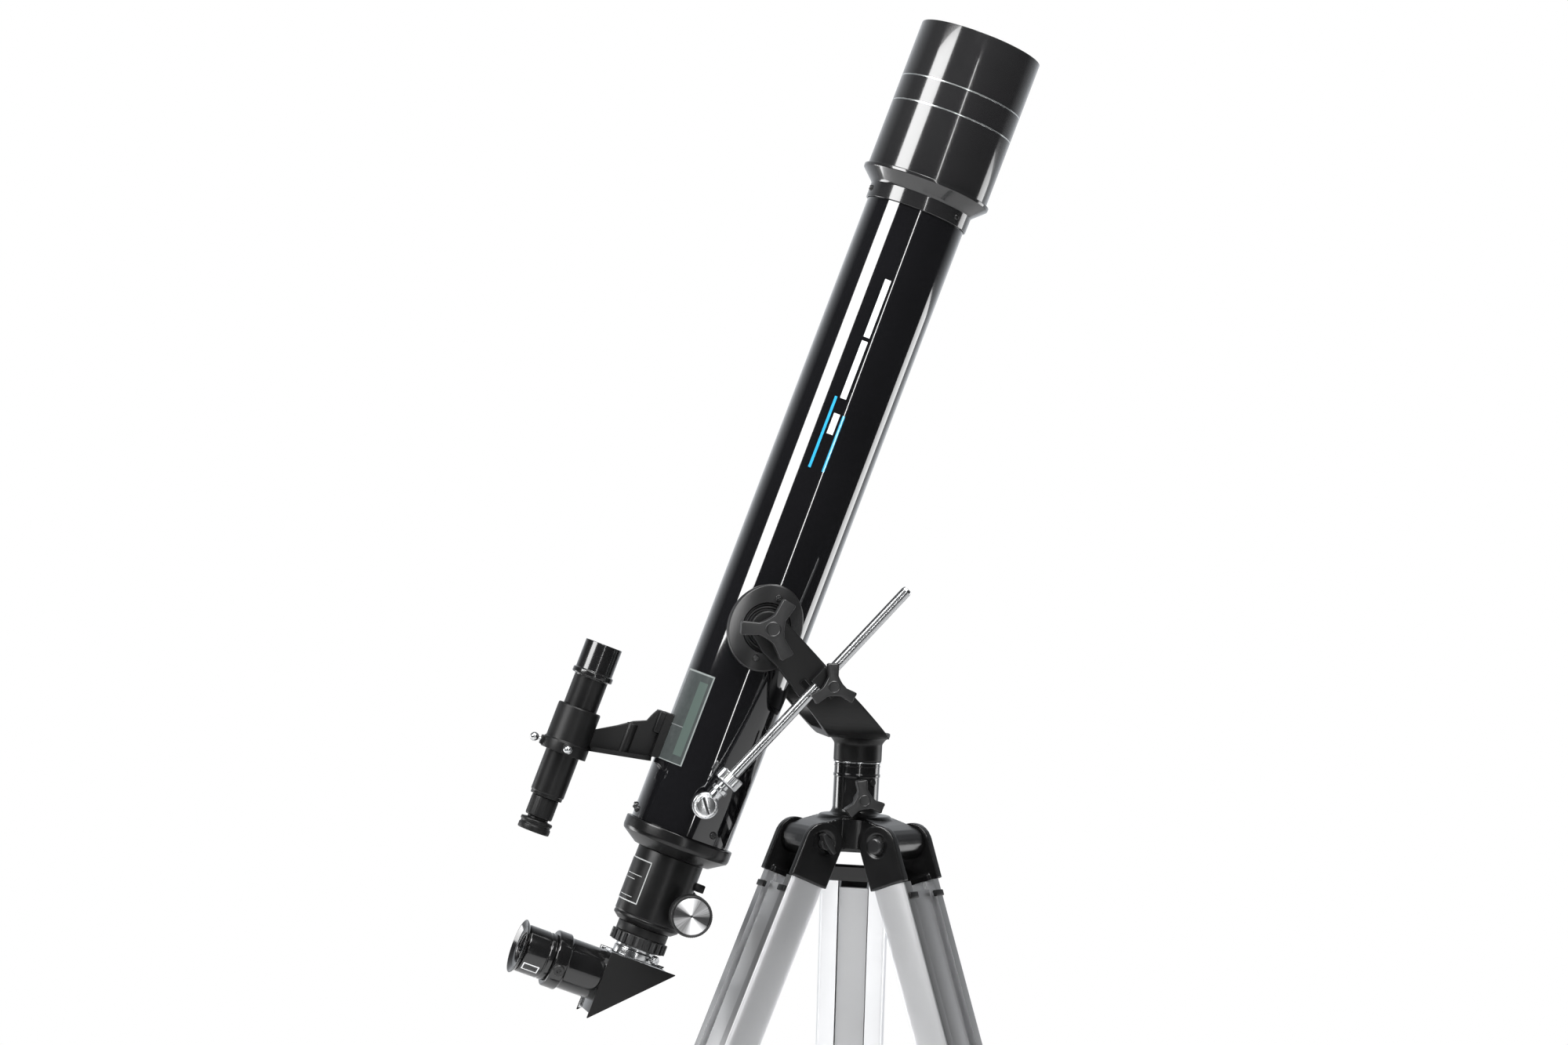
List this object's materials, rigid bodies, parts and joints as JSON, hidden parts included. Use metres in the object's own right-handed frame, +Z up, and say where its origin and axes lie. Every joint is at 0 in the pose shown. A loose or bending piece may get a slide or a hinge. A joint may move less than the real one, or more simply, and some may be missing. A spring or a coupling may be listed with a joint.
{
  "type": "telescope on tripod",
  "caption": "Small refracting telescope with finder, right-angle eyepiece and steady rod, on a fork mount and a folding aluminium tripod.",
  "frame": {"origin": "centre of the bounding box's base, on the floor", "axes": "+Z up; the tube's front leans towards +X; the steady rod and its clamp are on the -Y side; the altitude axis lies along Y"},
  "size_m": [0.5136, 0.5028, 1.2688],
  "materials": {
    "tube_paint": "gloss black enamel",
    "shield_paint": "gloss dark grey enamel",
    "satin_black": "satin black paint on cast metal",
    "black_plastic": "fine-textured black moulding",
    "gloss_plastic": "polished black moulding",
    "rubber": "matt black rubber",
    "leg_aluminium": "satin anodised extrusion",
    "chrome": "bright chrome plate",
    "lens_glass": "coated optical glass"
  },
  "bodies": {
    "hub": {"tripod_hub": "satin_black"},
    "fork": {"fork": "satin_black"},
    "azimuth_knob": {"azimuth_lock_knob": "black_plastic"},
    "altitude_knob_near": {"altitude_knob_near": "black_plastic"},
    "altitude_knob_far": {"altitude_knob_far": "black_plastic"},
    "tube": {"main_tube": "tube_paint", "dew_shield": "shield_paint", "objective_cell": "shield_paint", "crown_lens": "lens_glass", "flint_lens": "lens_glass", "rear_cell": "satin_black", "focuser_body": "satin_black", "altitude_pad_near": "black_plastic", "altitude_pad_far": "black_plastic", "finder_bracket": "black_plastic", "finder_tube": "satin_black", "finder_lens": "lens_glass"},
    "finder_ocular": {"finder_eyepiece": "gloss_plastic"},
    "rod": {"steady_rod": "chrome"},
    "nut": {"fine_adjust_nut": "chrome"},
    "rod_clamp": {"rod_clamp_block": "satin_black"},
    "rod_knob": {"rod_clamp_knob": "black_plastic"},
    "draw": {"drawtube": "satin_black"},
    "pinion": {"pinion_shaft": "chrome", "focus_knob_near": "black_plastic", "focus_knob_far": "black_plastic"},
    "clamp_ring": {"clamp_ring": "black_plastic"},
    "diagonal": {"diagonal_housing": "gloss_plastic", "nosepiece": "chrome", "diagonal_prism": "lens_glass"},
    "eyepiece": {"eyepiece": "gloss_plastic", "eyecup": "rubber"},
    "tray": {"accessory_tray": "black_plastic"},
    "leg_1": {"leg_bracket_1": "black_plastic", "hinge_bolt_1": "chrome", "leg_rail_1a": "leg_aluminium", "leg_rail_1b": "leg_aluminium", "leg_collar_1": "black_plastic"},
    "leg_1_lower": {"centre_leg_1": "leg_aluminium", "foot_1": "rubber"},
    "leg_1_knob": {"leg_lock_knob_1": "black_plastic"},
    "strut_1": {"spreader_strut_1": "black_plastic"},
    "leg_2": {"leg_bracket_2": "black_plastic", "hinge_bolt_2": "chrome", "leg_rail_2a": "leg_aluminium", "leg_rail_2b": "leg_aluminium", "leg_collar_2": "black_plastic"},
    "leg_2_lower": {"centre_leg_2": "leg_aluminium", "foot_2": "rubber"},
    "leg_2_knob": {"leg_lock_knob_2": "black_plastic"},
    "strut_2": {"spreader_strut_2": "black_plastic"},
    "leg_3": {"leg_bracket_3": "black_plastic", "hinge_bolt_3": "chrome", "leg_rail_3a": "leg_aluminium", "leg_rail_3b": "leg_aluminium", "leg_collar_3": "black_plastic"},
    "leg_3_lower": {"centre_leg_3": "leg_aluminium", "foot_3": "rubber"},
    "leg_3_knob": {"leg_lock_knob_3": "black_plastic"},
    "strut_3": {"spreader_strut_3": "black_plastic"}
  },
  "joints": [
    {"name": "azimuth_turn", "type": "hinge", "parent": "hub", "child": "fork", "pos_m": [0.03042, -0.04159, 0.71201], "axis": [0, 0, 1], "continuous": true},
    {"name": "azimuth_knob_turn", "type": "hinge", "parent": "hub", "child": "azimuth_knob", "pos_m": [0.03042, -0.04159, 0.68601], "axis": [0, -1, 0], "range_deg": [-180, 180]},
    {"name": "altitude_tilt", "type": "hinge", "parent": "fork", "child": "tube", "pos_m": [-0.04918, -0.04159, 0.81021], "axis": [0, 1, 0], "range_deg": [-5, 71.8]},
    {"name": "altitude_knob_near_turn", "type": "hinge", "parent": "fork", "child": "altitude_knob_near", "pos_m": [-0.04918, -0.04159, 0.81021], "axis": [0, -1, 0], "range_deg": [-180, 180]},
    {"name": "altitude_knob_far_turn", "type": "hinge", "parent": "fork", "child": "altitude_knob_far", "pos_m": [-0.04918, -0.04159, 0.81021], "axis": [0, 1, 0], "range_deg": [-180, 180]},
    {"name": "rod_swing", "type": "hinge", "parent": "tube", "child": "rod", "pos_m": [-0.09057, -0.09959, 0.6795], "axis": [0, 1, 0], "range_deg": [-13.36, 1.21]},
    {"name": "rod_clamp_slide", "type": "slide", "parent": "rod", "child": "rod_clamp", "axis": [0.6547, 0, 0.7559], "range_m": [-0.00456, 0.06149]},
    {"name": "rod_knob_turn", "type": "hinge", "parent": "rod_clamp", "child": "rod_knob", "pos_m": [-0.00258, -0.09959, 0.77041], "axis": [0, -1, 0], "range_deg": [-180, 180]},
    {"name": "fine_nut_turn", "type": "hinge", "parent": "rod", "child": "nut", "pos_m": [-0.09057, -0.09959, 0.6795], "axis": [0.6547, 0, 0.7559], "range_deg": [-180, 180]},
    {"name": "focus_slide", "type": "slide", "parent": "tube", "child": "draw", "axis": [-0.3123, 0, -0.95], "range_m": [0, 0.06]},
    {"name": "pinion_turn", "type": "hinge", "parent": "tube", "child": "pinion", "pos_m": [-0.09434, -0.04159, 0.59663], "axis": [0, 1, 0], "range_deg": [-690, 1]},
    {"name": "clamp_ring_turn", "type": "hinge", "parent": "draw", "child": "clamp_ring", "pos_m": [-0.13132, -0.04159, 0.56036], "axis": [0.3123, 0, 0.95], "range_deg": [-90, 90]},
    {"name": "diagonal_turn", "type": "hinge", "parent": "draw", "child": "diagonal", "pos_m": [-0.13132, -0.04159, 0.56036], "axis": [0.3123, 0, 0.95], "range_deg": [-90, 90]},
    {"name": "eyepiece_slide", "type": "slide", "parent": "diagonal", "child": "eyepiece", "axis": [-0.9456, -0.0958, 0.3109], "range_m": [0, 0.025]},
    {"name": "finder_focus", "type": "slide", "parent": "tube", "child": "finder_ocular", "axis": [-0.3123, 0, -0.95], "range_m": [0, 0.006]},
    {"name": "leg_1_fold", "type": "hinge", "parent": "hub", "child": "leg_1", "pos_m": [0.03865, -0.0048, 0.65351], "axis": [-0.9759, 0.2181, 0], "range_deg": [0, 15]},
    {"name": "leg_1_extend", "type": "slide", "parent": "leg_1", "child": "leg_1_lower", "axis": [0.0782, 0.3497, -0.9336], "range_m": [0, 0.42]},
    {"name": "leg_1_knob_turn", "type": "hinge", "parent": "leg_1", "child": "leg_1_knob", "pos_m": [0.08436, 0.19973, 0.10755], "axis": [0.2037, 0.9111, 0.3584], "range_deg": [-180, 180]},
    {"name": "strut_1_swing", "type": "hinge", "parent": "leg_1", "child": "strut_1", "pos_m": [0.07879, 0.17477, 0.10287], "axis": [-0.9759, 0.2181, 0], "range_deg": [-0.5, 33.41]},
    {"name": "leg_2_fold", "type": "hinge", "parent": "hub", "child": "leg_2", "pos_m": [-0.00555, -0.05286, 0.65351], "axis": [0.299, -0.9542, 0], "range_deg": [-0.2, 15.2]},
    {"name": "leg_2_extend", "type": "slide", "parent": "leg_2", "child": "leg_2_lower", "axis": [-0.342, -0.1072, -0.9336], "range_m": [0, 0.42]},
    {"name": "leg_2_knob_turn", "type": "hinge", "parent": "leg_2", "child": "leg_2_knob", "pos_m": [-0.20553, -0.11553, 0.10755], "axis": [-0.8909, -0.2792, 0.3584], "range_deg": [-180, 180]},
    {"name": "strut_2_swing", "type": "hinge", "parent": "leg_2", "child": "strut_2", "pos_m": [-0.18113, -0.10789, 0.10287], "axis": [0.299, -0.9542, 0], "range_deg": [-0.5, 33.41]},
    {"name": "leg_3_fold", "type": "hinge", "parent": "hub", "child": "leg_3", "pos_m": [0.05817, -0.06711, 0.65351], "axis": [0.6769, 0.7361, 0], "range_deg": [-0.2, 15.2]},
    {"name": "leg_3_extend", "type": "slide", "parent": "leg_3", "child": "leg_3_lower", "axis": [0.2638, -0.2426, -0.9336], "range_m": [0, 0.42]},
    {"name": "leg_3_knob_turn", "type": "hinge", "parent": "leg_3", "child": "leg_3_knob", "pos_m": [0.21244, -0.20896, 0.10755], "axis": [0.6872, -0.6319, 0.3584], "range_deg": [-180, 180]},
    {"name": "strut_3_swing", "type": "hinge", "parent": "leg_3", "child": "strut_3", "pos_m": [0.19362, -0.19165, 0.10287], "axis": [0.6769, 0.7361, 0], "range_deg": [-0.5, 33.41]},
    {"name": "tray_lift", "type": "slide", "parent": "hub", "child": "tray", "axis": [0, 0, 1], "range_m": [-0.0005, 0.08032]}
  ],
  "couplings": [
    {"joint": "rod_swing", "follows": "altitude_tilt", "ratio": -0.18184},
    {"joint": "rod_clamp_slide", "follows": "altitude_tilt", "m_per_rad": 0.04883},
    {"joint": "pinion_turn", "follows": "focus_slide", "rad_per_m": -200},
    {"joint": "strut_1_swing", "follows": "leg_1_fold", "ratio": 2.1939},
    {"joint": "leg_2_fold", "follows": "leg_1_fold", "ratio": 1},
    {"joint": "strut_2_swing", "follows": "leg_1_fold", "ratio": 2.1939},
    {"joint": "leg_3_fold", "follows": "leg_1_fold", "ratio": 1},
    {"joint": "strut_3_swing", "follows": "leg_1_fold", "ratio": 2.1939},
    {"joint": "tray_lift", "follows": "leg_1_fold", "m_per_rad": 0.30488}
  ]
}
